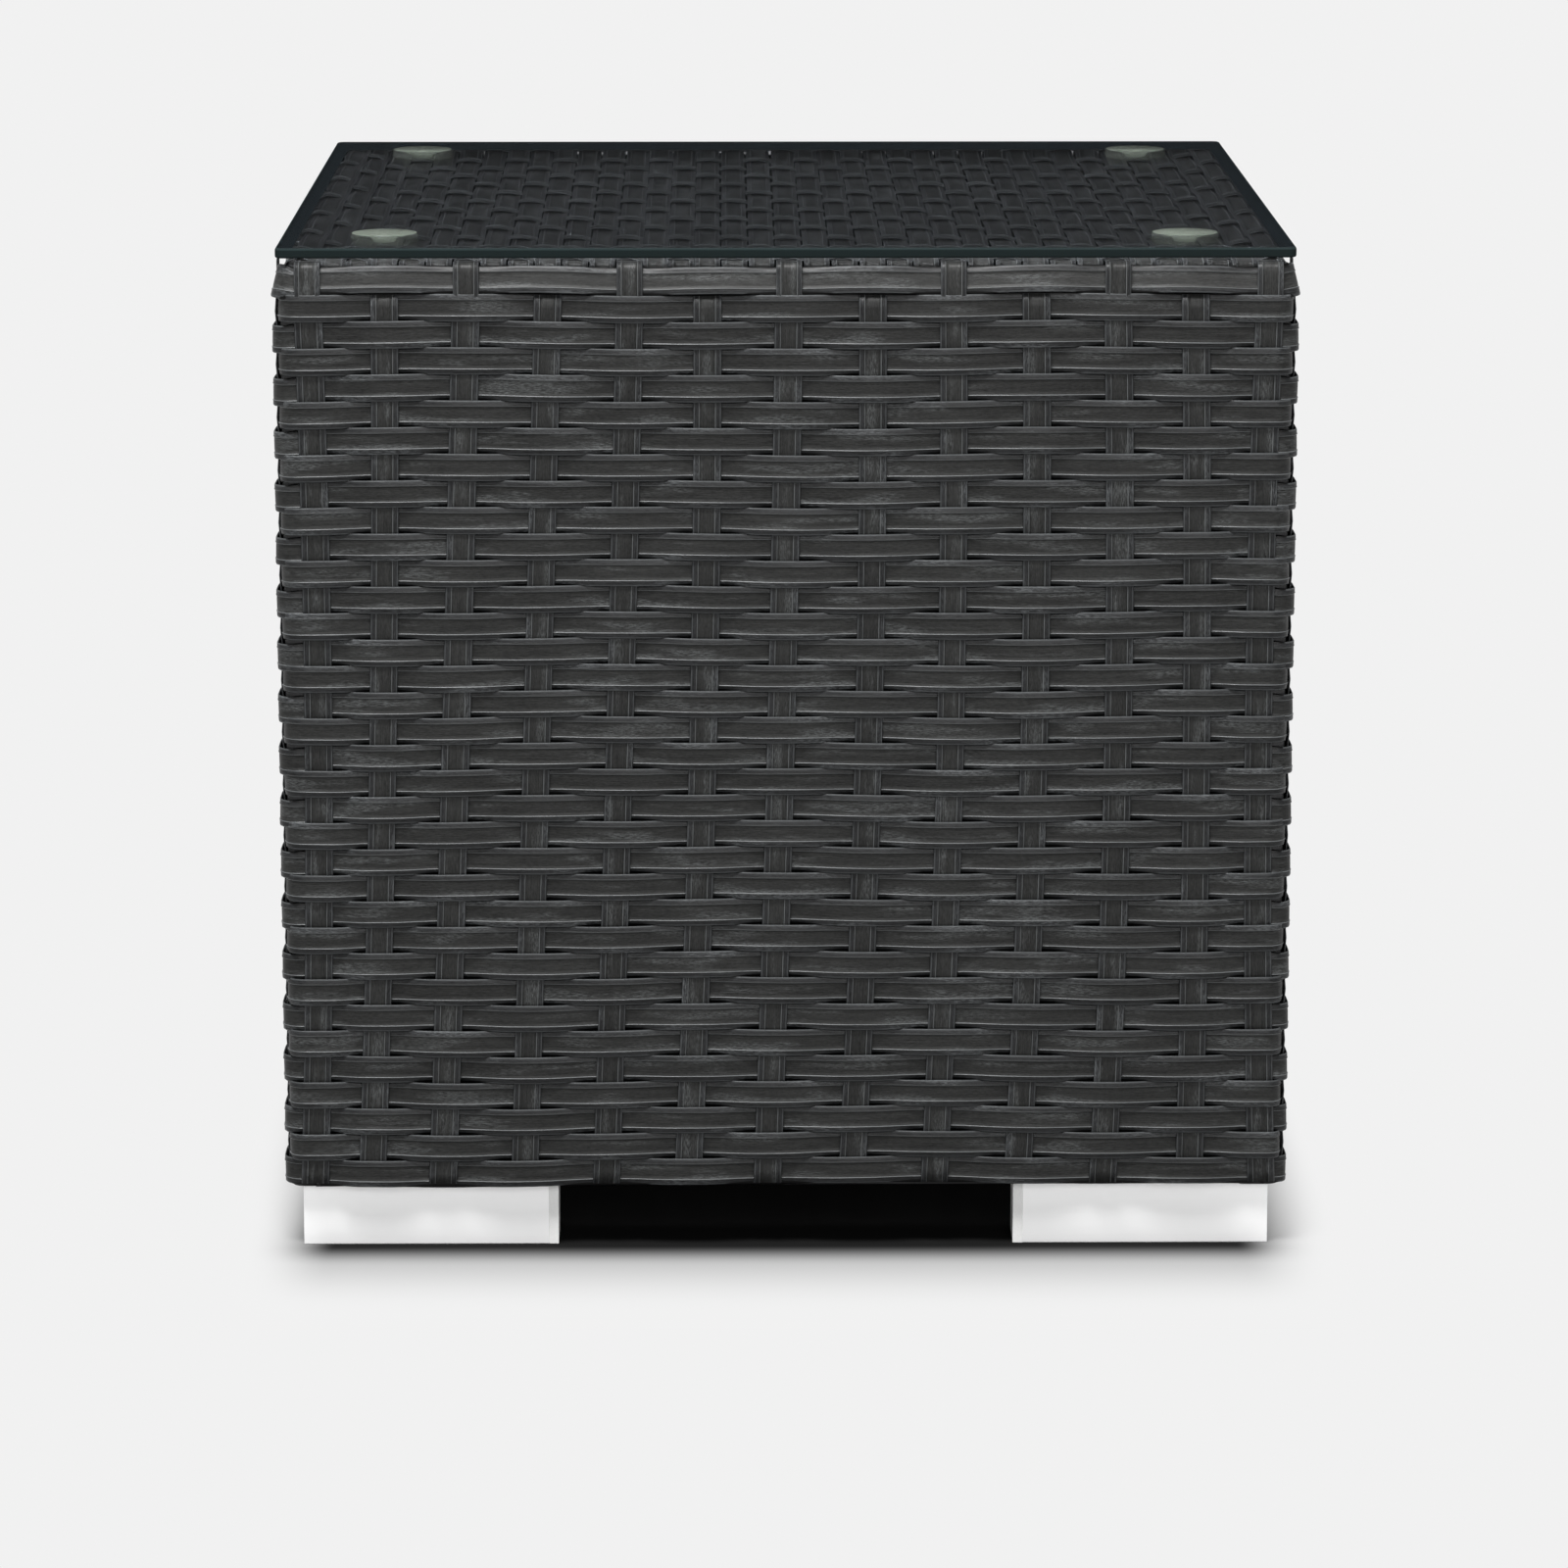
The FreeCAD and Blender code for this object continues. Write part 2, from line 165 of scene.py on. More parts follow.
class GlassSettings(bpy.types.PropertyGroup):
    """Sizes and tint of the plate and of the cups under it."""

    corner_radius: length_setting("Corner radius", "Radius of the plate's corners", 4 * MM)
    arris: length_setting("Arris", "Width of the ground bevel along the edges", 1.0 * MM)
    tint: colour_setting("Tint", "Colour that each face of the plate lets through", (0.53, 0.538, 0.55))
    shade_tint: colour_setting(
        "Shade tint", "Colour of the light that comes down through each face", (0.86, 0.865, 0.87))
    clear_half: length_setting(
        "Clear half width", "Where the plate has the weave under it, to each side", 243 * MM)
    clear_rear: length_setting(
        "Clear depth", "Where a low view through the plate meets the weave, to the rear", 214 * MM)
    face_colour: colour_setting("Face colour", "Smoked colour of the plate's faces", (0.008, 0.011, 0.013))
    edge_colour: colour_setting("Edge colour", "Colour of the plate's edges", (0.0070, 0.0115, 0.0118))
    # The upper bevel's paler colour is a painted highlight.
    arris_highlight_colour: colour_setting("Arris colour", "Colour of the ground upper bevel", (0.024, 0.036, 0.037))
    cup_colour: colour_setting("Cup colour", "Colour of the clear cups", (0.50, 0.54, 0.46))


class MetalSettings(bpy.types.PropertyGroup):
    """Sizes and colours of the frame and the feet."""

    tube_radius: length_setting("Tube corner", "Outer radius of the square tube's edges", 1.6 * MM)
    foot_radius: length_setting("Foot edge", "Outer radius of the feet's edges", 0.5 * MM)
    frame_colour: colour_setting("Frame colour", "Powder coat of the frame", (0.012, 0.012, 0.013))
    foot_colour: colour_setting("Foot colour", "Metal of the feet", (0.99, 0.99, 0.99))
    plug_colour: colour_setting("Plug colour", "Moulded plugs in the feet's ends", (0.92, 0.92, 0.91))


class StageSettings(bpy.types.PropertyGroup):
    """Camera, floor and lamps."""

    lens: bpy.props.FloatProperty(
        name="Lens", description="Focal length, in millimetres", default=143.21, min=1)
    camera_place: bpy.props.FloatVectorProperty(
        name="Camera place", description="Where the camera stands",
        default=(-0.0263, -3.2958, 0.8787), subtype="TRANSLATION", size=3, unit="LENGTH")
    pitch: bpy.props.FloatProperty(
        name="Pitch", description="How far the camera looks down",
        default=math.radians(10.9925), subtype="ANGLE")
    yaw: bpy.props.FloatProperty(
        name="Yaw", description="How far the camera turns to the left",
        default=math.radians(-0.476), subtype="ANGLE")
    shift: bpy.props.FloatProperty(
        name="Shift", description="Upward shift of the frame, as a share of its width", default=-0.06)
    floor_colour: colour_setting("Floor colour", "Pale studio floor", (0.55, 0.55, 0.55))
    white: bpy.props.FloatProperty(
        name="Background", description="Brightness of the background", default=0.88, min=0, max=1)
    fill: bpy.props.FloatProperty(
        name="Fill", description="Brightness of the even light", default=0.2, min=0, max=1)


class Value:
    """A number on a node's output, which can be written in sums."""

    def __init__(self, shader, socket):
        self.shader = shader
        self.socket = socket

    def _math(self, operation, *values):
        return self.shader.value("ShaderNodeMath", {"operation": operation}, dict(enumerate(values)))

    def __add__(self, other):
        return self._math("ADD", self, other)

    def __radd__(self, other):
        return self._math("ADD", other, self)

    def __sub__(self, other):
        return self._math("SUBTRACT", self, other)

    def __rsub__(self, other):
        return self._math("SUBTRACT", other, self)

    def __mul__(self, other):
        return self._math("MULTIPLY", self, other)

    def __rmul__(self, other):
        return self._math("MULTIPLY", other, self)

    def __abs__(self):
        return self._math("ABSOLUTE", self)

    def step(self, low, high):
        """0 below low and 1 above high, with a smooth rise between."""
        settings = {"interpolation_type": "SMOOTHSTEP"}
        return self.shader.value("ShaderNodeMapRange", settings, {0: self, 1: low, 2: high})

    def band(self, start, full, fall, end):
        """1 from full to fall, and 0 outside start and end."""
        return self.step(start, full) * (1 - self.step(fall, end))


class Shader:
    """The nodes of a new material or of a world, made one call at a time."""

    def __init__(self, name, world=None):
        self.material = world or bpy.data.materials.new(name)
        self.material.use_nodes = True
        self.tree = self.material.node_tree
        self.tree.nodes.clear()
        self.output = self.tree.nodes.new("ShaderNodeOutputWorld" if world else "ShaderNodeOutputMaterial")

    def node(self, kind, settings=None, inputs=None):
        """New node: its settings first, then its sockets as numbers, colours or links."""
        node = self.tree.nodes.new(kind)
        for key, value in (settings or {}).items():
            setattr(node, key, value)
        for key, value in (inputs or {}).items():
            socket = node.inputs[key]
            if isinstance(value, Value):
                value = value.socket
            if isinstance(value, bpy.types.NodeSocket):
                self.tree.links.new(value, socket)
            elif hasattr(value, "__len__") and len(socket.default_value) == 4:
                socket.default_value = (*value, 1)[:4]
            else:
                socket.default_value = value
        return node

    def value(self, kind, settings=None, inputs=None, output=0):
        """Number on an output of a new node."""
        return Value(self, self.node(kind, settings, inputs).outputs[output])

    def attribute(self, name):
        """Parts of a vector kept on the mesh."""
        node = self.node("ShaderNodeAttribute", {"attribute_name": name})
        return self.parts(node.outputs["Vector"])

    def parts(self, vector):
        node = self.node("ShaderNodeSeparateXYZ", None, {0: vector})
        return [Value(self, socket) for socket in node.outputs]

    def vector(self, x, y, z):
        return self.node("ShaderNodeCombineXYZ", None, {0: x, 1: y, 2: z}).outputs[0]

    def place(self):
        """Object coordinates."""
        return self.node("ShaderNodeTexCoord").outputs["Object"]

    def noise(self, vector, scale, detail=3.0, roughness=0.5):
        inputs = {"Vector": vector, "Scale": scale, "Detail": detail, "Roughness": roughness}
        return self.value("ShaderNodeTexNoise", None, inputs)

    def mix(self, factor, a, b, blend="MIX"):
        """Colour between a and b."""
        settings = {"data_type": "RGBA", "blend_type": blend}
        return self.node("ShaderNodeMix", settings, {0: factor, 6: a, 7: b}).outputs[2]

    def tinted(self, colour, factor):
        """Colour times a number."""
        grey = self.node("ShaderNodeCombineColor", None, {0: factor, 1: factor, 2: factor}).outputs[0]
        return self.mix(1.0, colour, grey, "MULTIPLY")

    def bump(self, height, strength, distance):
        inputs = {"Strength": strength, "Distance": distance, "Height": height}
        return self.node("ShaderNodeBump", None, inputs).outputs[0]

    def mix_shaders(self, factor, a, b):
        """Mix Shader of two nodes' first outputs."""
        return self.node("ShaderNodeMixShader", None, {0: factor, 1: a.outputs[0], 2: b.outputs[0]})

    def close(self, surface):
        """Link a node to the output and give back the material or world."""
        self.tree.links.new(surface.outputs[0], self.output.inputs["Surface"])
        return self.material

    def finish(self, inputs):
        """Principled surface with these sockets."""
        return self.close(self.node("ShaderNodeBsdfPrincipled", None, inputs))


# Bands across a strand, from 0 at its middle to 0.5 at its edge: where each starts, is full,
# begins to fall and ends. The flange and the edge run on to the strand's edge.
# The groove takes painted shade, and the ridge and the edge bands take painted highlights.
GROOVE_BAND = (0.268, 0.288, 0.294, 0.304)
RIDGE_BAND = (0.302, 0.312, 0.334, 0.346)
FLANGE_START = (0.345, 0.385)
EDGE_HIGHLIGHT_START = (0.452, 0.462)


def strand_finish(shader):
    """Extruded plastic strand: grained core, bluish flanges, painted highlights on its ridges and edges,
    painted shade where it dives, and painted light that makes it paler on the rim and the top.
    """
    weave = bpy.context.scene.weave_settings
    along, across, chance = shader.attribute("strand")
    from_middle = abs(across - 0.5)
    flange = from_middle.step(*FLANGE_START)
    ridge = from_middle.band(*RIDGE_BAND)
    groove_shade = from_middle.band(*GROOVE_BAND)
    # Fine grain along the strand, coarser fibres, and long patches of wear with a painted sheen.
    grain_place = shader.vector(along * 380 + chance * 37, across * 34, chance * 11)
    grain = shader.noise(grain_place, 1.0, 4.0, 0.7)
    fibre = shader.noise(shader.vector(along * 55 + chance * 53, across * 60, chance * 7), 1.0, 2.0)
    patch = shader.noise(shader.vector(along * 24, across * 2, chance * 29), 1.0, 2.0)
    wear_and_sheen = patch.step(0.5, 0.68)
    streak = 1 + (grain - 0.5) * (3.4 + wear_and_sheen * 2.5) + (fibre - 0.5) * 2.4 + (patch - 0.5) * 0.8
    # Painted light: strands at the rim and on the top are made paler than those below.
    height = shader.parts(shader.place())[2]
    painted_rim_light = height.step(EDGE_LOW[2] - 1 * MM, EDGE_LOW[2] + 2 * MM)
    shade = (streak + (chance - 0.5) * 0.25 + wear_and_sheen * 0.3) * (1 + painted_rim_light * 0.24)
    # Painted shade: in the groove beside each ridge, on the flanges where the strand dives and lies in the
    # dark, and at its lowest point.
    dive = shader.value("ShaderNodeAttribute", {"attribute_name": "dive"}, None, "Fac")
    seen = 0.48 - dive * (0.095 - dive * 0.026)
    dark = from_middle.step(seen - 0.004, seen + 0.008) * dive.step(0, 0.15)
    shade = shade * (1 - groove_shade * 0.5) * (1 - dark * 0.97) * (1 - dive.step(0.985, 1.0) * 0.6)
    colour = shader.mix(flange, weave.core_colour, weave.rim_colour)
    colour = shader.tinted(colour, shade)
    # Painted highlights on the ridges and the free edges, and a painted sheen on the worn grain.
    rubbed_sheen = wear_and_sheen * grain.step(0.42, 0.65) * 0.3
    edge = from_middle.step(*EDGE_HIGHLIGHT_START) * (1 - dive.step(0, 0.3)) * 0.2
    painted_highlight = (ridge * (0.2 + fibre * 0.45) + (1 - ridge) * rubbed_sheen + edge) * (1 - dark)
    colour = shader.mix(painted_highlight, colour, weave.ridge_highlight_colour)
    rough = weave.roughness + (grain - 0.5) * 0.25 - flange * 0.06 - ridge * 0.1
    normal = shader.bump(grain * 0.6 + fibre * 0.4, 0.4, 0.00025)
    sockets = {"Base Color": colour, "Roughness": rough, "Normal": normal, "Specular IOR Level": 0.17}
    return shader.finish(sockets)


def glass_finish(shader):
    """Smoked float glass, darkest through its edges, with ground arrises and a painted highlight along the
    upper one.
    """
    glass = bpy.context.scene.glass_settings
    x, y, z = shader.parts(shader.place())
    upright = abs(shader.parts(shader.node("ShaderNodeNewGeometry").outputs["Normal"])[2])
    face = upright.step(0.90, 0.97)
    arris = upright.step(0.3, 0.5) * (1 - face) * z.step(GLASS_HIGH[2] - 2.5 * MM, GLASS_HIGH[2] - 2 * MM)
    # Where a low view through the plate would miss the weave, its lower face is closed in the dark face
    # colour, as painted shade.
    facing = shader.value("ShaderNodeLayerWeight", None, {"Blend": 0.5}, "Facing")
    below = 1 - z.step(GLASS_LOW[2] + 1 * MM, GLASS_LOW[2] + 2 * MM)
    sides = abs(x).step(glass.clear_half - 1 * MM, glass.clear_half)
    rear = y.step(glass.clear_rear - 4 * MM, glass.clear_rear)
    border = (sides + rear).step(0, 1) * facing.step(0.225, 0.25) * below
    smear = shader.noise(shader.place(), 7.0, 3.0)
    colour = shader.mix(face, glass.edge_colour, glass.face_colour)
    # Painted highlight along the upper arris.
    colour = shader.mix(arris, colour, glass.arris_highlight_colour)
    sockets = {"Base Color": colour, "Roughness": 0.3, "Specular IOR Level": 0.0}
    solid = shader.node("ShaderNodeBsdfPrincipled", None, sockets)
    sockets = {"Color": glass.tint, "Roughness": 0.0, "IOR": 1.5}
    clear = shader.node("ShaderNodeBsdfRefraction", None, sockets)
    lit = shader.node("ShaderNodeBsdfTransparent", None, {"Color": glass.shade_tint})
    pane = shader.mix_shaders(shader.value("ShaderNodeLightPath", None, None, "Is Shadow Ray"), clear, lit)
    cover = 1 - face * (1 - border) * (0.97 - smear * 0.02)
    body = shader.mix_shaders(cover, pane, solid)
    gloss = shader.node("ShaderNodeBsdfAnisotropic", None, {"Color": (1, 1, 1), "Roughness": 0.03})
    return shader.close(shader.mix_shaders(0.006, body, gloss))


def cup_finish(shader):
    """Soft clear plastic with a milky cast, clearer in its outer skirt."""
    glass = bpy.context.scene.glass_settings
    skirt = shader.attribute("skirt")[0]
    cloud = shader.noise(shader.place(), 320.0, 2.0)
    colour = shader.tinted(glass.cup_colour, 0.85 + cloud * 0.3)
    rough = 0.22 + cloud * 0.1
    alpha = 0.97 - skirt * 0.87
    sockets = {"Base Color": colour, "Roughness": rough, "Alpha": alpha, "IOR": 1.45}
    skin = shader.node("ShaderNodeBsdfPrincipled", None, sockets)
    glow = shader.node("ShaderNodeBsdfTranslucent", None, {"Color": glass.cup_colour})
    clear = shader.node("ShaderNodeBsdfTransparent", None, {"Color": (0.9, 0.92, 0.88)})
    milk = shader.mix_shaders((1 - skirt) * 0.6, skin, glow)
    passed = shader.value("ShaderNodeLightPath", None, None, "Is Shadow Ray") * 0.8
    return shader.close(shader.mix_shaders(passed, milk, clear))


def coat_finish(shader):
    """Black powder coat with a fine orange-peel grain."""
    metal = bpy.context.scene.metal_settings
    grain = shader.noise(shader.place(), 900.0, 2.0)
    colour = shader.tinted(metal.frame_colour, 0.7 + grain * 0.6)
    rough = 0.45 + grain * 0.15
    normal = shader.bump(grain, 0.25, 0.0002)
    return shader.finish({"Base Color": colour, "Roughness": rough, "Normal": normal})


def foot_finish(shader):
    """Pale satin metal, brushed along its length."""
    metal = bpy.context.scene.metal_settings
    x, y, z = shader.parts(shader.place())
    brush = shader.noise(shader.vector(x * 12, y * 12, z * 2600), 1.0, 2.0)
    cloud = shader.noise(shader.place(), 18.0, 2.0)
    colour = shader.tinted(metal.foot_colour, 0.97 + brush * 0.03 + cloud * 0.01)
    rough = 0.52 + brush * 0.08
    sockets = {"Base Color": colour, "Roughness": rough, "Metallic": 0.5}
    return shader.finish(sockets)


def plug_finish(shader):
    """Light grey moulded plastic."""
    metal = bpy.context.scene.metal_settings
    grain = shader.noise(shader.place(), 1400.0, 2.0)
    colour = shader.tinted(metal.plug_colour, 0.94 + grain * 0.12)
    normal = shader.bump(grain, 0.2, 0.0001)
    return shader.finish({"Base Color": colour, "Roughness": 0.75, "Normal": normal})


def screw_finish(shader):
    """Zinc plated steel."""
    grain = shader.noise(shader.place(), 500.0, 2.0)
    colour = shader.tinted((0.55, 0.55, 0.54), 0.8 + grain * 0.4)
    rough = 0.3 + grain * 0.2
    return shader.finish({"Base Color": colour, "Roughness": rough, "Metallic": 1.0})


FINISHES = {
    "woven_strand": strand_finish,
    "smoked_glass": glass_finish,
    "clear_cup": cup_finish,
    "frame_tube": coat_finish,
    "foot_metal": foot_finish,
    "foot_plug": plug_finish,
    "screw": screw_finish,
}


def finish_of(slot):
    """The slot's finish, made on first use."""
    name = slot + "_finish"
    return bpy.data.materials.get(name) or FINISHES[slot](Shader(name))


def finish_piece(bm, name, node, slot, body="root", smooth=True):
    """Make an object of a bmesh, give it its finish and set it in the frame in place of its node."""
    mesh = bpy.data.meshes.new(name)
    for face in bm.faces:
        face.smooth = smooth
    bm.to_mesh(mesh)
    bm.free()
    piece = bpy.data.objects.new(name, mesh)
    bpy.context.collection.objects.link(piece)
    mesh.materials.append(finish_of(slot))
    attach(piece, body)
    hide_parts(node)


# Half of the strand's section, from its middle over the front and round the edge to the back:
# each point's share of the core, its share of the flange, and its height in mm.
HALF_SECTION = (
    (0.45, 0.0, 0.10), (0.87, 0.0, 0.02), (0.93, 0.0, 0.34), (0.965, 0.0, 0.44), (1.01, 0.01, 0.32),
    (1.03, 0.15, 0.22), (1.05, 0.82, 0.20), (1.06, 1.0, -0.12), (1.0, 0.7, -0.48), (0.8, 0.0, -0.45),
)
SECTION = tuple((-core, -flange, height) for core, flange, height in reversed(HALF_SECTION)) + HALF_SECTION
CORE_HALF = 4.3 * MM

# How far across the finish the core and the flange reach from the strand's middle, at 0.5.
ACROSS_CORE = 0.35
ACROSS_FLANGE = 0.13


class Station:
    """One place along a strand: its middle, the way it runs, the way it faces, and its flanges.

    flange is the width outside each ridge. dive is how far the strand has gone under: its
    flanges fold back there by up to curl, and lie in the dark.
    """

    def __init__(self, middle, along, outward, flange, dive=0.0, curl=0.0):
        self.middle = middle
        self.outward = outward
        self.across = along.cross(outward).normalized()
        self.flange = flange
        self.dive = dive
        self.curl = curl * dive

    def place(self, core, flange, height):
        """Where a point of the section lies at this station."""
        shift = core * CORE_HALF + flange * self.flange
        lift = height * MM - abs(flange) * self.curl
        return self.middle + self.across * shift + self.outward * lift


def weave_strand(target, stations, chance):
    """Wrap a grid round the stations as one strand with closed ends, and add it to a bmesh."""
    bm = bmesh.new()
    detail, depth = strand_layers(bm)
    bmesh.ops.create_grid(bm, x_segments=len(SECTION), y_segments=len(stations) - 1, size=1)
    points = []
    for core, flange, height in SECTION + SECTION[:1]:
        points.append((core, flange, height, 0.5 + ACROSS_CORE * core + ACROSS_FLANGE * flange))
    verts = iter(bm.verts)
    length = 0.0
    before = stations[0].middle
    for station in stations:
        length += (station.middle - before).length
        before = station.middle
        for core, flange, height, across in points:
            vert = next(verts)
            vert.co = station.place(core, flange, height)
            vert[detail] = (length, across, chance)
            vert[depth] = station.dive
    bmesh.ops.remove_doubles(bm, verts=bm.verts, dist=1e-7)
    bmesh.ops.holes_fill(bm, edges=[edge for edge in bm.edges if edge.is_boundary], sides=0)
    bmesh.ops.recalc_face_normals(bm, faces=bm.faces)
    add(target, bm)


def add(target, bm):
    """Add one bmesh to another."""
    mesh = bpy.data.meshes.new("part")
    bm.to_mesh(mesh)
    bm.free()
    target.from_mesh(mesh)
    bpy.data.meshes.remove(mesh)


def strand_layers(bm):
    """Vertex layers that the strand's finish reads: place on the strand, and how far it dives."""
    return bm.verts.layers.float_vector.new("strand"), bm.verts.layers.float.new("dive")


def new_weave():
    bm = bmesh.new()
    strand_layers(bm)
    return bm


def smooth_step(low, high, value):
    share = min(max((value - low) / (high - low), 0), 1)
    return share * share * (3 - 2 * share)


def between(table, place):
    """Value at a place in a table of places and values, on straight lines between its entries."""
    for (low, first), (high, second) in zip(table, table[1:]):
        if place <= high:
            break
    share = min(max((place - low) / (high - low), 0), 1)
    return first + (second - first) * share


def stake_shift(side, i, z):
    """How far a stake stands off its even spacing at a height, along its side."""
    drop = min(max((EDGE_LOW[2] - z) / (EDGE_LOW[2] - ROWS_LOW[2]), 0), 1)
    if side == 0:
        rim, middle, foot = FRONT_AT_RIM[i], FRONT_AT_MIDDLE[i], FRONT_AT_FOOT[i]
    else:
        source = random.Random(100 * side + i)
        rim = source.uniform(-2, 2) + CORNER_STAKES.get(i, 0)
        foot = rim - source.uniform(2, 7) * (i < STAKES - 1) + CORNER_STAKES.get(i, 0) / 2
        middle = (rim + foot) / 2 + source.uniform(-2, 2)
    bend = middle - (rim + foot) / 2
    return (rim + (foot - rim) * drop + 4 * bend * drop * (1 - drop)) * MM


def stake_place(side, i, z):
    """Where a stake stands along its side at a height."""
    return (i - (STAKES - 1) / 2) * STAKE_PITCH + stake_shift(side, i, z)


def ring_place(side, a, radius):
    """Point on the weave's middle surface, its direction and its outward direction.

    a runs along a side from its middle, and on round its corners.
    """
    straight = WEAVE_MIDDLE - radius
    arc = radius * math.pi / 2
    size = abs(a)
    sign = 1 if a >= 0 else -1
    turn = min(max((size - straight) / radius, 0), math.pi / 2)
    past = max(0.0, size - straight - arc)
    outward = Vector((sign * math.sin(turn), -math.cos(turn), 0))
    along = Vector((math.cos(turn), sign * math.sin(turn), 0))
    centre = Vector((sign * min(size, straight), -straight, 0))
    place = centre + outward * radius + Vector((0, past, 0))
    spin = Matrix.Rotation(side * math.pi / 2, 3, "Z")
    return spin @ place, spin @ along, spin @ outward


def corner_gap(radius):
    """Length of the weave's middle line from one side's middle to the next side's middle."""
    return 2 * (WEAVE_MIDDLE - radius) + radius * math.pi / 2


def row_knots(side, z, over_first):
    """Crossings of a row on one side: place, and whether the row passes outside the stake there.

    The row runs on round the corners to where the next side's stake hides its end.
    """
    gap = corner_gap(bpy.context.scene.weave_settings.corner_radius)
    places = [stake_place((side + 3) % 4, STAKES - 1, z) - gap]
    places += [stake_place(side, i, z) for i in range(STAKES)]
    places += [stake_place((side + 1) % 4, 0, z) + gap]
    knots = [(place, (i + 1 + over_first) % 2 == 1) for i, place in enumerate(places)]
    first = 0 if knots[1][1] else 1
    last = len(knots) if knots[-2][1] else len(knots) - 1
    return knots[first:last]


class RowStyle:
    """How a level row lies.

    wide and dived are its flanges on top and where it has dived. It swings about a line that
    stands proud of the weave's middle, tips back by tilt, rises on top, and at the corners
    rises again and spreads its flanges by the same amount.
    """

    def __init__(self, wide, dived, swing, proud=0.0, tilt=0.0, rise=0.0, corner_rise=0.0):
        self.wide = wide
        self.dived = dived
        self.swing = swing
        self.proud = proud
        self.tilt = tilt
        self.rise = rise
        self.corner_rise = corner_rise


def lay_row(bm, side, over_first, z, style, seed):
    """One level row of a side."""
    source = random.Random(seed)
    phase = source.uniform(0, 2 * math.pi)
    knots = row_knots(side, z, over_first)
    stations = []
    for (a0, out0), (a1, _) in zip(knots, knots[1:]):
        span = a1 - a0
        steps = CORNER_STEPS if span < 0.8 * STAKE_PITCH else SPAN_STEPS
        flat = min(0.42, 0.47 * STRAND / span)
        for i in range(steps):
            step = i / steps
            share = (1 - 2 * smooth_step(flat, 1 - flat, step)) * (1 if out0 else -1)
            stations.append(row_station(side, a0 + span * step, share, z, style, phase))
    place, out = knots[-1]
    stations.append(row_station(side, place, 1 if out else -1, z, style, phase))
    weave_strand(bm, stations, source.random())


def row_drift(side, a, z):
    """How far a row stands off its level; rows near each other wander together.

    The front's rows have crept up as well, and its lowest ones sag at the left.
    """
    wander = 0.45 * math.sin(a * 19 + z * 11 + side) + 0.25 * math.sin(a * 43 - z * 23 + 2 * side)
    low = max(0.0, 1 - (z - ROWS_LOW[2]) / (60 * MM))
    if side == 0:
        wander += between(FRONT_ROW_RISE, z) - 1.8 * low * smooth_step(0.02, 0.26, -a)
    return wander * MM


def row_station(side, a, share, z, style, phase):
    """Station of a row: share is 1 where it is outermost and -1 where it is innermost."""
    weave = bpy.context.scene.weave_settings
    place, along, outward = ring_place(side, a, weave.corner_radius)
    arc = weave.corner_radius * math.pi / 2
    past = (abs(a) - WEAVE_MIDDLE + weave.corner_radius + CORNER_LEAD) / (arc + 2 * CORNER_LEAD)
    corner = math.sin(math.pi * min(max(past, 0), 1))
    height = z + row_drift(side, a, z) + style.rise * share + style.corner_rise * corner
    inset = 0.75 * STRAND / 2 * math.sin(style.tilt)
    lean = math.radians(1.5) * math.sin(a * 57 + phase) + style.tilt
    facing = outward * math.cos(lean) + Vector((0, 0, math.sin(lean)))
    dive = max(-share, 0.0)
    flange = style.wide + (style.dived - style.wide) * dive + style.corner_rise * corner
    offset = style.proud + style.swing * share - inset
    middle = place + outward * offset + Vector((0, 0, height))
    return Station(middle, along, facing, flange, dive, weave.curl)


def make_side_rows(side):
    """Level rows of a side, from the floor up."""
    bm = new_weave()
    style = RowStyle(2.3 * MM, 3.1 * MM, bpy.context.scene.weave_settings.swing)
    for row in range(ROWS):
        z = ROWS_LOW[2] + (row + 0.5) * ROW_PITCH
        over_first = (ROWS - row + side) % 2
        lay_row(bm, side, over_first, z, style, 1000 * side + row)
    finish_piece(bm, SIDES[side] + "_woven_rows", SIDES[side] + "_rows", "woven_strand")


def make_edge_row(side):
    """Row along the rim, tipped back over the top rail and arched up between the tabs."""
    bm = new_weave()
    style = RowStyle(
        wide=2.2 * MM, dived=2.5 * MM, swing=0.6 * MM, proud=0.8 * MM, tilt=math.radians(15),
        rise=0.35 * MM, corner_rise=1.7 * MM)
    z = EDGE_LOW[2] + 7.3 * MM
    lay_row(bm, side, side % 2, z, style, 9000 + side)
    finish_piece(bm, SIDES[side] + "_woven_edge", SIDES[side] + "_edge_row", "woven_strand")


def make_side_stakes(side):
    """Stakes of a side, which bow out a little where they show between the rows."""
    weave = bpy.context.scene.weave_settings
    bm = new_weave()
    for i in range(STAKES):
        source = random.Random(500 * side + i)
        flange = source.uniform(2.2, 2.5) * MM
        stations = []
        for half_row in range(2 * ROWS + 1):
            z = ROWS_LOW[2] + half_row * ROW_PITCH / 2
            row = half_row // 2
            shows = (ROWS - row + side + i) % 2 == 0
            bow = 0.0
            if half_row % 2:
                bow = weave.stake_bow if shows else -weave.stake_bow
            if i in (0, STAKES - 1):
                bow -= CORNER_STAKE_DEPTH
            place, _, outward = ring_place(side, stake_place(side, i, z), weave.corner_radius)
            height = max(z + row_drift(side, stake_place(side, i, z), z), ROWS_LOW[2] + STAKE_FOOT)
            middle = place + outward * bow + Vector((0, 0, height))
            stations.append(Station(middle, Vector((0, 0, 1)), outward, flange))
        weave_strand(bm, stations, source.random())
    finish_piece(bm, SIDES[side] + "_woven_stakes", SIDES[side] + "_stakes", "woven_strand")


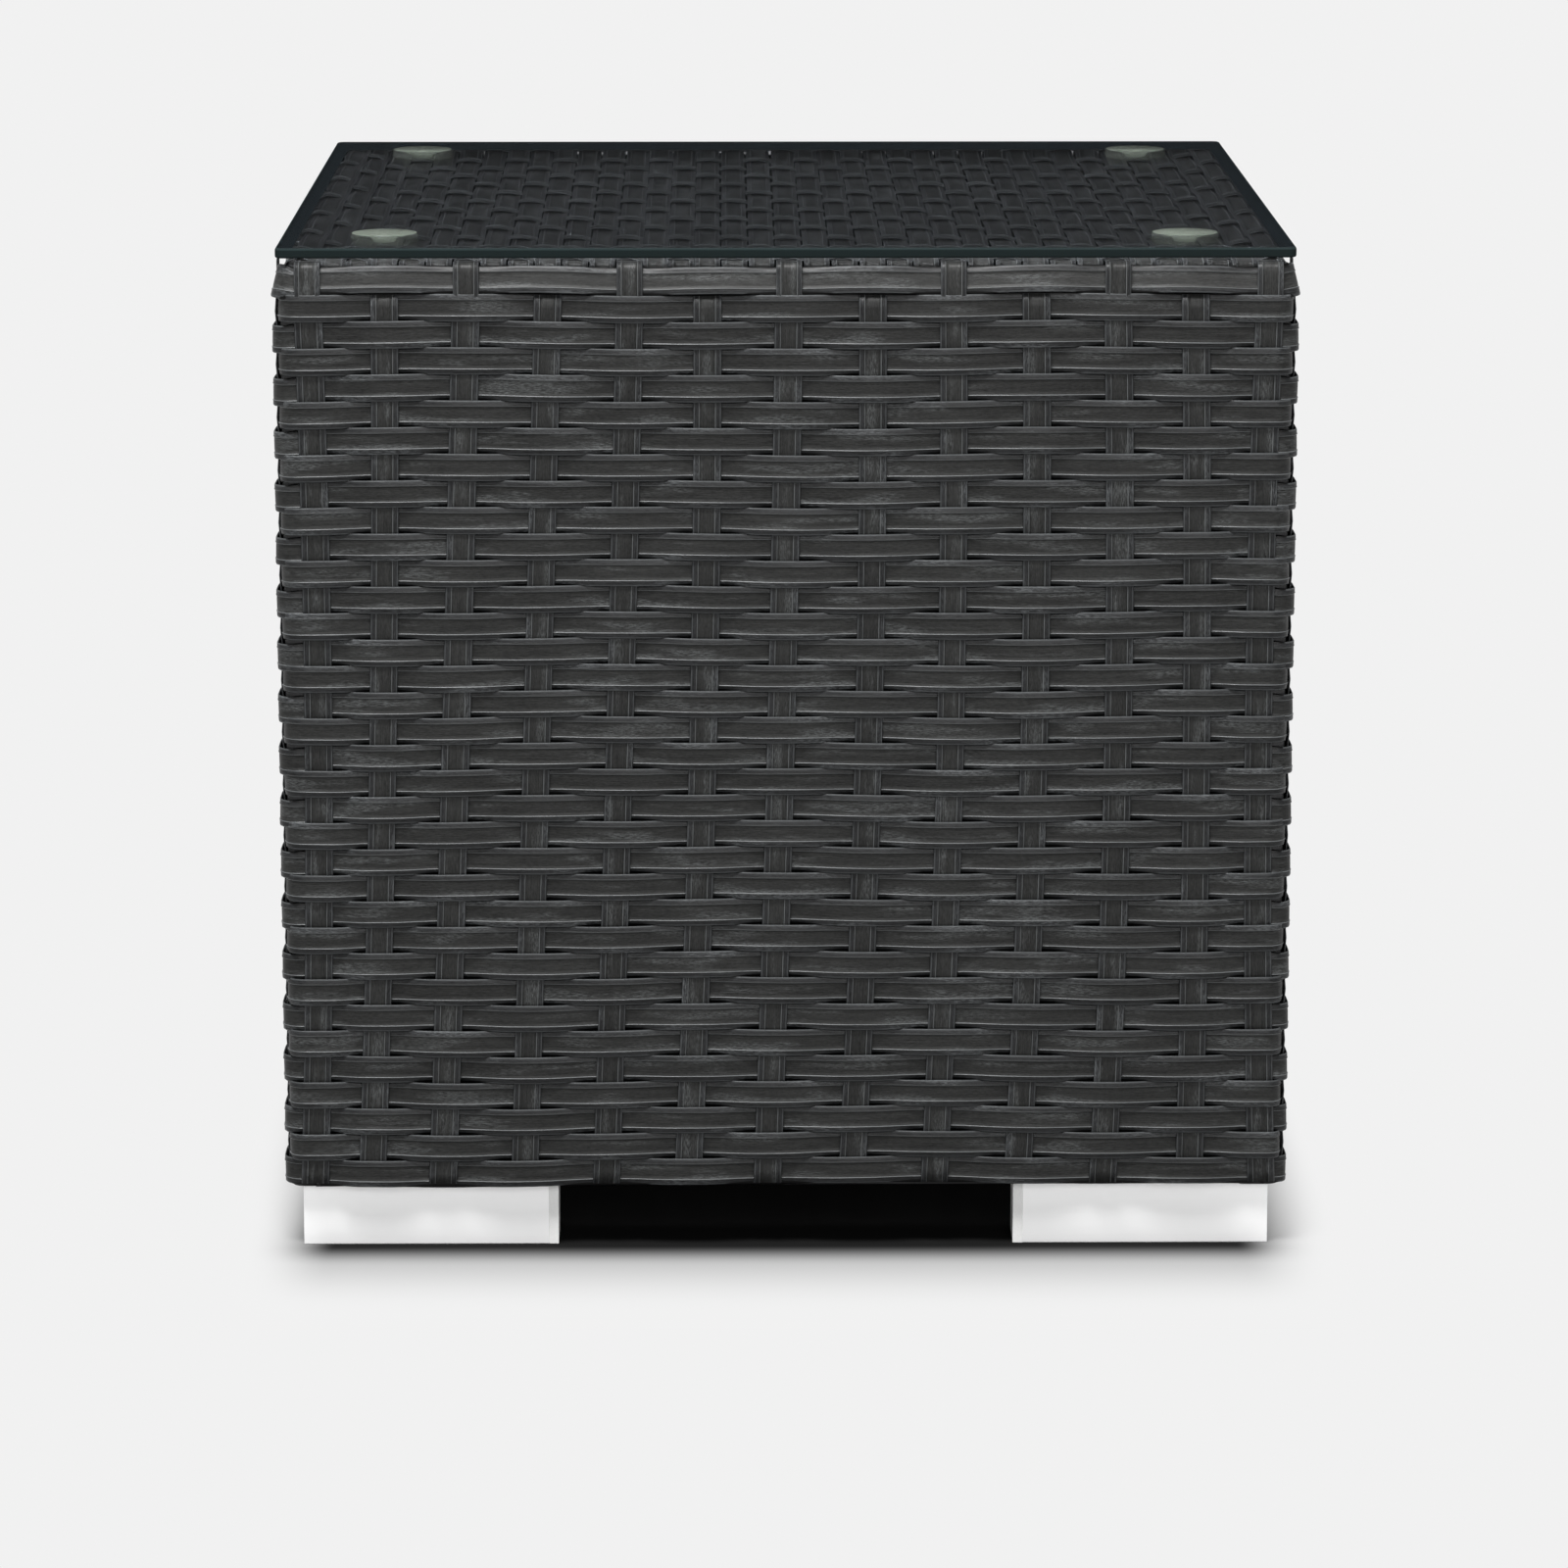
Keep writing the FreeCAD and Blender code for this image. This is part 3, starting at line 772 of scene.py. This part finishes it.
# Levels of the top weave, how far its strands swing, and how far its outer cross strands draw in.
TOP_MIDDLE = (TOP_LOW[2] + TOP_HIGH[2]) / 2 + 1.4 * MM
TOP_RIM = TOP_MIDDLE + 3.4 * MM
LONG_SWING = 0.55 * MM
CROSS_SWING = 0.95 * MM
TOP_FLANGE = 1.8 * MM
RIM_DRAW_IN = 5 * MM

# A strand that wraps the rim and one that is tucked in: off the weave's middle, and its bend.
WRAP_OUT = 1.3 * MM
WRAP_BEND = 4.4 * MM
TUCK_IN = 4.6 * MM
TUCK_BEND = 3.4 * MM


def top_level(x, y):
    """Height of the top weave's middle, which is dished inside its frame."""
    out = max(abs(x), abs(y)) / WEAVE_MIDDLE
    return TOP_MIDDLE + (TOP_RIM - TOP_MIDDLE) * smooth_step(0.80, 0.97, out)


def rim_shift(side, share):
    """How far strands at the rim stand off their even spacing; share runs from 0 to 1 along the side."""
    place = share * (STAKES - 1)
    i = min(int(place), STAKES - 2)
    part = place - i
    before = stake_shift(side, i, EDGE_LOW[2])
    after = stake_shift(side, i + 1, EDGE_LOW[2])
    return before + (after - before) * part


class TopStrand:
    """A strand of the top: how far its ends stand off their even spacing, and what it crosses."""

    def __init__(self, direction, place, shifts, crossings, over_first, wraps):
        self.direction = direction
        self.side = Vector((direction.y, -direction.x, 0))
        self.place = place
        self.shifts = shifts
        self.crossings = crossings
        self.over_first = over_first
        self.wraps = wraps

    def middle(self, distance, z):
        """Point of the strand at a distance from the table's middle and a height."""
        share = (distance / WEAVE_MIDDLE + 1) / 2
        shift = self.shifts[0] + (self.shifts[1] - self.shifts[0]) * share
        return self.side * (self.place + shift) + self.direction * distance + Vector((0, 0, z))

    def level_station(self, distance, lift):
        """Station on the top, lifted off the weave's middle."""
        level = top_level(distance, self.place)
        return Station(self.middle(distance, level + lift), self.direction, Vector((0, 0, 1)), TOP_FLANGE)

    def sign(self, k):
        return 1 if (k + self.over_first) % 2 else -1

    def rim_stations(self, end):
        """Stations over the rim at one end, from below up: end is -1 at the start and 1 at the finish."""
        stations = []
        for out, z, turn in rim_profile(self.wraps):
            outward = self.direction * (end * math.cos(turn)) + Vector((0, 0, math.sin(turn)))
            along = Vector((0, 0, -end * math.cos(turn))) + self.direction * math.sin(turn)
            stations.append(Station(self.middle(end * out, z), along, outward, TOP_FLANGE))
        return stations

    def stations(self, swing):
        """Stations from rim to rim, over and under what the strand crosses."""
        places = self.crossings
        stations = self.rim_stations(-1)
        for k in range(len(places) - 1):
            for i in range(TOP_STEPS):
                step = i / TOP_STEPS
                share = self.sign(k) * (1 - 2 * smooth_step(0.14, 0.86, step))
                distance = places[k] + (places[k + 1] - places[k]) * step
                stations.append(self.level_station(distance, swing * share))
        last = len(places) - 1
        stations.append(self.level_station(places[last], swing * self.sign(last)))
        return stations + self.rim_stations(1)[::-1]


def rim_profile(wraps):
    """Path over the rim from below: distance from the middle, height, and turn from level to up.

    A strand that wraps passes outside the edge row, and any other is tucked in behind it.
    """
    if wraps:
        out = WEAVE_MIDDLE + WRAP_OUT
        bend = WRAP_BEND
        low = EDGE_LOW[2]
        path = [(WEAVE_MIDDLE, low - 5 * MM, 0), (WEAVE_MIDDLE + 0.4 * MM, low - 0.2 * MM, 0)]
        path += [(out, low + 2 * MM, 0), (out, low + 6 * MM, 0)]
        level = TOP_RIM
    else:
        out = WEAVE_MIDDLE - TUCK_IN
        bend = TUCK_BEND
        path = [(out, TOP_RIM - bend - 2 * MM, 0)]
        level = TOP_RIM - 0.3 * MM
    for i in range(RIM_STEPS + 1):
        turn = math.pi / 2 * i / RIM_STEPS
        path.append((out - bend + bend * math.cos(turn), level - bend + bend * math.sin(turn), turn))
    return path


def cross_places():
    """Cross strands of the top, from front to back, the outer two drawn in from the rim."""
    places = [(j - (STAKES - 1) / 2) * STAKE_PITCH for j in range(STAKES)]
    places[0] += RIM_DRAW_IN
    places[-1] -= RIM_DRAW_IN
    return places


def long_places():
    pitch = STAKE_PITCH * (STAKES - 1) / (LONG_STRANDS - 1)
    return [(i - (LONG_STRANDS - 1) / 2) * pitch for i in range(LONG_STRANDS)]


def make_long_strands():
    """Strands of the top from front to back; every sixth wraps the rim and becomes a stake."""
    bm = new_weave()
    for i, x in enumerate(long_places()):
        share = i / (LONG_STRANDS - 1)
        shifts = (rim_shift(0, share), -rim_shift(2, 1 - share))
        strand = TopStrand(Vector((0, 1, 0)), x, shifts, cross_places(), i % 2, i % 6 == 0)
        weave_strand(bm, strand.stations(LONG_SWING), random.Random(7000 + i).random())
    finish_piece(bm, "top_woven_long", "top_long_strands", "woven_strand")


def make_cross_strands():
    """Strands of the top from left to right, under and over each long strand."""
    bm = new_weave()
    for j, y in enumerate(cross_places()):
        share = j / (STAKES - 1)
        shifts = (rim_shift(3, 1 - share), -rim_shift(1, share))
        strand = TopStrand(Vector((1, 0, 0)), -y, shifts, long_places(), (j + 1) % 2, j % 2 == 1)
        weave_strand(bm, strand.stations(CROSS_SWING), random.Random(8000 + j).random())
    finish_piece(bm, "top_woven_cross", "top_cross_strands", "woven_strand")


def scaled_block(low, high):
    """New bmesh holding a block between two corners."""
    bm = bmesh.new()
    bmesh.ops.create_cube(bm, size=1)
    size = Vector(high) - Vector(low)
    middle = (Vector(high) + Vector(low)) / 2
    bmesh.ops.scale(bm, vec=size, verts=bm.verts)
    bmesh.ops.translate(bm, vec=middle, verts=bm.verts)
    return bm


def bevel(bm, edges, width, segments):
    bmesh.ops.bevel(
        bm, geom=list(edges), offset=width, offset_type="OFFSET", segments=segments,
        profile=0.5, affect="EDGES", material=-1, clamp_overlap=True)


def edge_along(edge, axis):
    way = edge.verts[1].co - edge.verts[0].co
    return abs(way.normalized()[axis]) > 0.999


def square_tube(low, high, axis, wall, radius, outer=0.0):
    """Tube along an axis with rounded edges and a bore, open at both ends.

    Its edge furthest from the table's middle gets the outer radius, if there is one.
    """
    bm = scaled_block(low, high)
    edges = [edge for edge in bm.edges if edge_along(edge, axis)]
    if outer:
        edges.sort(key=lambda edge: edge.verts[0].co.xy.length)
        edges.pop()
    bevel(bm, edges, radius, 3)
    if outer:
        edges = [edge for edge in bm.edges if edge_along(edge, axis)]
        bevel(bm, [max(edges, key=lambda edge: edge.verts[0].co.xy.length)], outer, 6)
    ends = [face for face in bm.faces if abs(face.normal[axis]) > 0.9]
    bmesh.ops.inset_individual(bm, faces=ends, thickness=wall, use_even_offset=True)
    bmesh.ops.bridge_loops(bm, edges=[edge for face in ends for edge in face.edges])
    bmesh.ops.delete(bm, geom=ends, context="FACES_ONLY")
    bmesh.ops.recalc_face_normals(bm, faces=bm.faces)
    return bm


def make_tube_piece(node, axis, outer=0.0):
    metal = bpy.context.scene.metal_settings
    low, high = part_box(node)
    bm = square_tube(low, high, axis, TUBE_WALL, metal.tube_radius, outer)
    finish_piece(bm, node + "_tube", node, "frame_tube", smooth=False)


def lathe(profile, centre, steps):
    """New bmesh of a profile of radius and height spun about an upright line."""
    bm = bmesh.new()
    verts = [bm.verts.new((r, 0, z)) for r, z in profile]
    edges = [bm.edges.new(pair) for pair in zip(verts, verts[1:])]
    bmesh.ops.spin(
        bm, geom=verts + edges, cent=(0, 0, 0), axis=(0, 0, 1), dvec=(0, 0, 0),
        angle=2 * math.pi, steps=steps, use_merge=True)
    bmesh.ops.remove_doubles(bm, verts=bm.verts, dist=1e-6)
    bmesh.ops.recalc_face_normals(bm, faces=bm.faces)
    bmesh.ops.translate(bm, vec=centre, verts=bm.verts)
    return bm


class WOVEN_OT_sides(bpy.types.Operator):
    """Weave the four sides: level rows, rim rows and upright stakes"""

    bl_idname = "woven.sides"
    bl_label = "Weave Sides"

    def execute(self, context):
        for side in range(4):
            make_side_rows(side)
            make_edge_row(side)
            make_side_stakes(side)
        return {"FINISHED"}


class WOVEN_OT_top(bpy.types.Operator):
    """Weave the top panel under the glass"""

    bl_idname = "woven.top"
    bl_label = "Weave Top"

    def execute(self, context):
        make_long_strands()
        make_cross_strands()
        return {"FINISHED"}


class WOVEN_OT_frame(bpy.types.Operator):
    """Make the welded tube frame"""

    bl_idname = "woven.frame"
    bl_label = "Make Frame"

    def execute(self, context):
        for corner in CORNERS:
            make_tube_piece(corner + "_post", 2, POST_OUTER_RADIUS)
        for side in SIDES:
            axis = 0 if side in ("front", "back") else 1
            make_tube_piece(side + "_top_rail", axis)
            make_tube_piece(side + "_bottom_rail", axis)
        make_tube_piece("left_top_bar", 1)
        make_tube_piece("right_top_bar", 1)
        return {"FINISHED"}


def corner_signs(corner):
    """Which way a corner lies from the table's middle, along X and along Y."""
    return -1 if "left" in corner else 1, -1 if "front" in corner else 1


def leg_box(box, signs, axis):
    """Corners of an L-shaped foot's leg along an axis."""
    low, high = list(box[0]), list(box[1])
    other = 1 - axis
    if signs[other] < 0:
        high[other] = low[other] + FOOT_DEPTH
    else:
        low[other] = high[other] - FOOT_DEPTH
    return low, high


def make_foot(corner):
    """Two mitred lengths of flat tube."""
    metal = bpy.context.scene.metal_settings
    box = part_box(corner + "_foot")
    signs = corner_signs(corner)
    out = Vector((box[signs[0] > 0][0], box[signs[1] > 0][1], 0))
    bm = bmesh.new()
    for axis, way in ((0, 1), (1, -1)):
        leg = square_tube(*leg_box(box, signs, axis), axis, FOOT_WALL, metal.foot_radius)
        normal = Vector((signs[0] * way, -signs[1] * way, 0)).normalized()
        bmesh.ops.bisect_plane(
            leg, geom=leg.verts[:] + leg.edges[:] + leg.faces[:], plane_co=out, plane_no=normal,
            clear_outer=True)
        add(bm, leg)
    finish_piece(bm, corner + "_silver_foot", corner + "_foot", "foot_metal", smooth=False)


def make_plugs(corner):
    """Flanges of the plugs in the two open ends of a foot."""
    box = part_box(corner + "_foot_plugs")
    signs = corner_signs(corner)
    bm = bmesh.new()
    for axis in (0, 1):
        low, high = leg_box(box, signs, axis)
        if signs[axis] < 0:
            low[axis] = high[axis] - PLUG_FLANGE
        else:
            high[axis] = low[axis] + PLUG_FLANGE
        cap = scaled_block(low, high)
        bevel(cap, cap.edges[:], PLUG_EDGE, 2)
        add(bm, cap)
    finish_piece(bm, corner + "_end_plugs", corner + "_foot_plugs", "foot_plug", smooth=False)


class WOVEN_OT_feet(bpy.types.Operator):
    """Make the four silver feet and their plugs"""

    bl_idname = "woven.feet"
    bl_label = "Make Feet"

    def execute(self, context):
        for corner in CORNERS:
            make_foot(corner)
            make_plugs(corner)
        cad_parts["foot_screws"].data.materials.clear()
        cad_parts["foot_screws"].data.materials.append(finish_of("screw"))
        return {"FINISHED"}


def make_cups():
    """Four cups on the top, each a milky funnel inside a clear skirt."""
    low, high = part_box("glass_cups")
    seat = low[2] + CUP_LIFT
    top = high[2]
    inner = CUP_RADIUS - CUP_SKIRT
    funnel = [(radius * MM, seat + height * MM) for radius, height in CUP_FUNNEL]
    funnel += [(radius * MM, top + height * MM) for radius, height in CUP_RIM]
    skirt = [(inner, seat), (CUP_RADIUS, seat), (CUP_RADIUS, top), (inner, top), (inner, seat)]
    bm = bmesh.new()
    mark = bm.verts.layers.float_vector.new("skirt")
    for x in (low[0] + CUP_RADIUS, high[0] - CUP_RADIUS):
        for y in (low[1] + CUP_RADIUS, high[1] - CUP_RADIUS):
            add(bm, lathe(funnel, Vector((x, y, 0)), CUP_STEPS))
            before = len(bm.verts)
            add(bm, lathe(skirt, Vector((x, y, 0)), CUP_STEPS))
            bm.verts.ensure_lookup_table()
            for vert in bm.verts[before:]:
                vert[mark] = (1, 0, 0)
    finish_piece(bm, "clear_cups", "glass_cups", "clear_cup")


class WOVEN_OT_cups(bpy.types.Operator):
    """Make the four clear cups that carry the glass"""

    bl_idname = "woven.cups"
    bl_label = "Make Cups"

    def execute(self, context):
        make_cups()
        return {"FINISHED"}


class WOVEN_OT_glass(bpy.types.Operator):
    """Make the smoked glass plate"""

    bl_idname = "woven.glass"
    bl_label = "Make Glass"

    def execute(self, context):
        glass = context.scene.glass_settings
        bm = scaled_block(GLASS_LOW, GLASS_HIGH)
        bevel(bm, [edge for edge in bm.edges if edge_along(edge, 2)], glass.corner_radius, 8)
        level = [edge for edge in bm.edges if not edge_along(edge, 2)]
        bevel(bm, level, glass.arris, 2)
        finish_piece(bm, "smoked_plate", "glass_top", "smoked_glass", "glass", False)
        return {"FINISHED"}


def background_rays(shader):
    """1 for rays that show the background: from the camera, off a gloss or through a glass."""
    rays = shader.node("ShaderNodeLightPath")
    names = ("Is Camera Ray", "Is Glossy Ray", "Is Transmission Ray")
    camera, glossy, through = (Value(shader, rays.outputs[name]) for name in names)
    return (camera + glossy + through).step(0.2, 0.8)


def floor_finish(stage):
    """Pale floor like the background, with the table's soft shadow painted on by place, deepest under it.
    """
    shader = Shader("studio_floor")
    x, y, _ = shader.parts(shader.place())
    # Painted shadow: share is how much of the open floor's brightness each place keeps.
    beside = (abs(x) - FOOT_HALF).step(*SHADOW_BESIDE)
    ahead = abs(y) - FOOT_HALF
    open_floor = ahead.step(*SHADOW_CLOSE) * (0.33 + ahead.step(*SHADOW_FAR) * 0.67)
    share = beside + (1 - beside) * open_floor
    colour = shader.tinted(stage.floor_colour, 0.02 + share * 0.98)
    near = shader.node("ShaderNodeBsdfDiffuse", None, {"Color": colour})
    glow = shader.node("ShaderNodeEmission", None, {"Color": (1, 1, 1), "Strength": stage.white})
    return shader.close(shader.mix_shaders(share * background_rays(shader), near, glow))


def set_world(stage):
    """Even grey light, seen as the pale background."""
    shader = Shader("studio_world", bpy.data.worlds.new("studio_world"))
    light = shader.node("ShaderNodeBackground", None, {"Color": (1, 1, 1), "Strength": stage.fill})
    seen = shader.node("ShaderNodeBackground", None, {"Color": (1, 1, 1), "Strength": stage.white})
    bpy.context.scene.world = shader.close(shader.mix_shaders(background_rays(shader), light, seen))


def add_lamp(name, place, size, power, target):
    """Soft lamp that faces a point."""
    data = bpy.data.lights.new(name, "AREA")
    data.shape = "RECTANGLE"
    data.size = size[0]
    data.size_y = size[1]
    data.energy = power
    lamp = bpy.data.objects.new(name, data)
    bpy.context.collection.objects.link(lamp)
    lamp.location = place
    lamp.rotation_euler = (Vector(target) - Vector(place)).to_track_quat("-Z", "Y").to_euler()


class WOVEN_OT_stage(bpy.types.Operator):
    """Set the floor, the lamps and the camera"""

    bl_idname = "woven.stage"
    bl_label = "Set Stage"

    def execute(self, context):
        stage = context.scene.stage_settings
        bm = bmesh.new()
        bmesh.ops.create_grid(bm, x_segments=4, y_segments=4, size=30)
        mesh = bpy.data.meshes.new("studio_floor")
        bm.to_mesh(mesh)
        bm.free()
        floor = bpy.data.objects.new("studio_floor", mesh)
        context.collection.objects.link(floor)
        mesh.materials.append(floor_finish(stage))
        set_world(stage)
        for lamp in LAMPS:
            add_lamp(*lamp)
        data = bpy.data.cameras.new("camera")
        data.lens = stage.lens
        data.sensor_width = 36
        data.shift_y = stage.shift
        camera = bpy.data.objects.new("camera", data)
        context.collection.objects.link(camera)
        camera.location = stage.camera_place
        camera.rotation_euler = (math.pi / 2 - stage.pitch, 0, stage.yaw)
        context.scene.camera = camera
        context.scene.view_settings.view_transform = "Standard"
        return {"FINISHED"}


class VIEW3D_PT_woven_table(bpy.types.Panel):
    """Steps and settings of the woven table"""

    bl_label = "Woven Table"
    bl_space_type = "VIEW_3D"
    bl_region_type = "UI"
    bl_category = "Woven Table"

    def draw(self, context):
        layout = self.layout
        for operator in OPERATORS:
            layout.operator(operator.bl_idname)
        for name in SETTINGS:
            group = getattr(context.scene, name)
            box = layout.box()
            for key in group.__annotations__:
                box.prop(group, key)


OPERATORS = (WOVEN_OT_sides, WOVEN_OT_top, WOVEN_OT_frame, WOVEN_OT_feet, WOVEN_OT_cups, WOVEN_OT_glass,
             WOVEN_OT_stage)
SETTINGS = {
    "weave_settings": WeaveSettings,
    "glass_settings": GlassSettings,
    "metal_settings": MetalSettings,
    "stage_settings": StageSettings,
}


def register():
    for name, group in SETTINGS.items():
        bpy.utils.register_class(group)
        setattr(bpy.types.Scene, name, bpy.props.PointerProperty(type=group))
    for operator in OPERATORS:
        bpy.utils.register_class(operator)
    bpy.utils.register_class(VIEW3D_PT_woven_table)


def unregister():
    bpy.utils.unregister_class(VIEW3D_PT_woven_table)
    for operator in reversed(OPERATORS):
        bpy.utils.unregister_class(operator)
    for name, group in SETTINGS.items():
        delattr(bpy.types.Scene, name)
        bpy.utils.unregister_class(group)


def main():
    register()
    bpy.ops.woven.sides()
    bpy.ops.woven.top()
    bpy.ops.woven.frame()
    bpy.ops.woven.feet()
    bpy.ops.woven.cups()
    bpy.ops.woven.glass()
    bpy.ops.woven.stage()


if __name__ == "__main__":
    main()
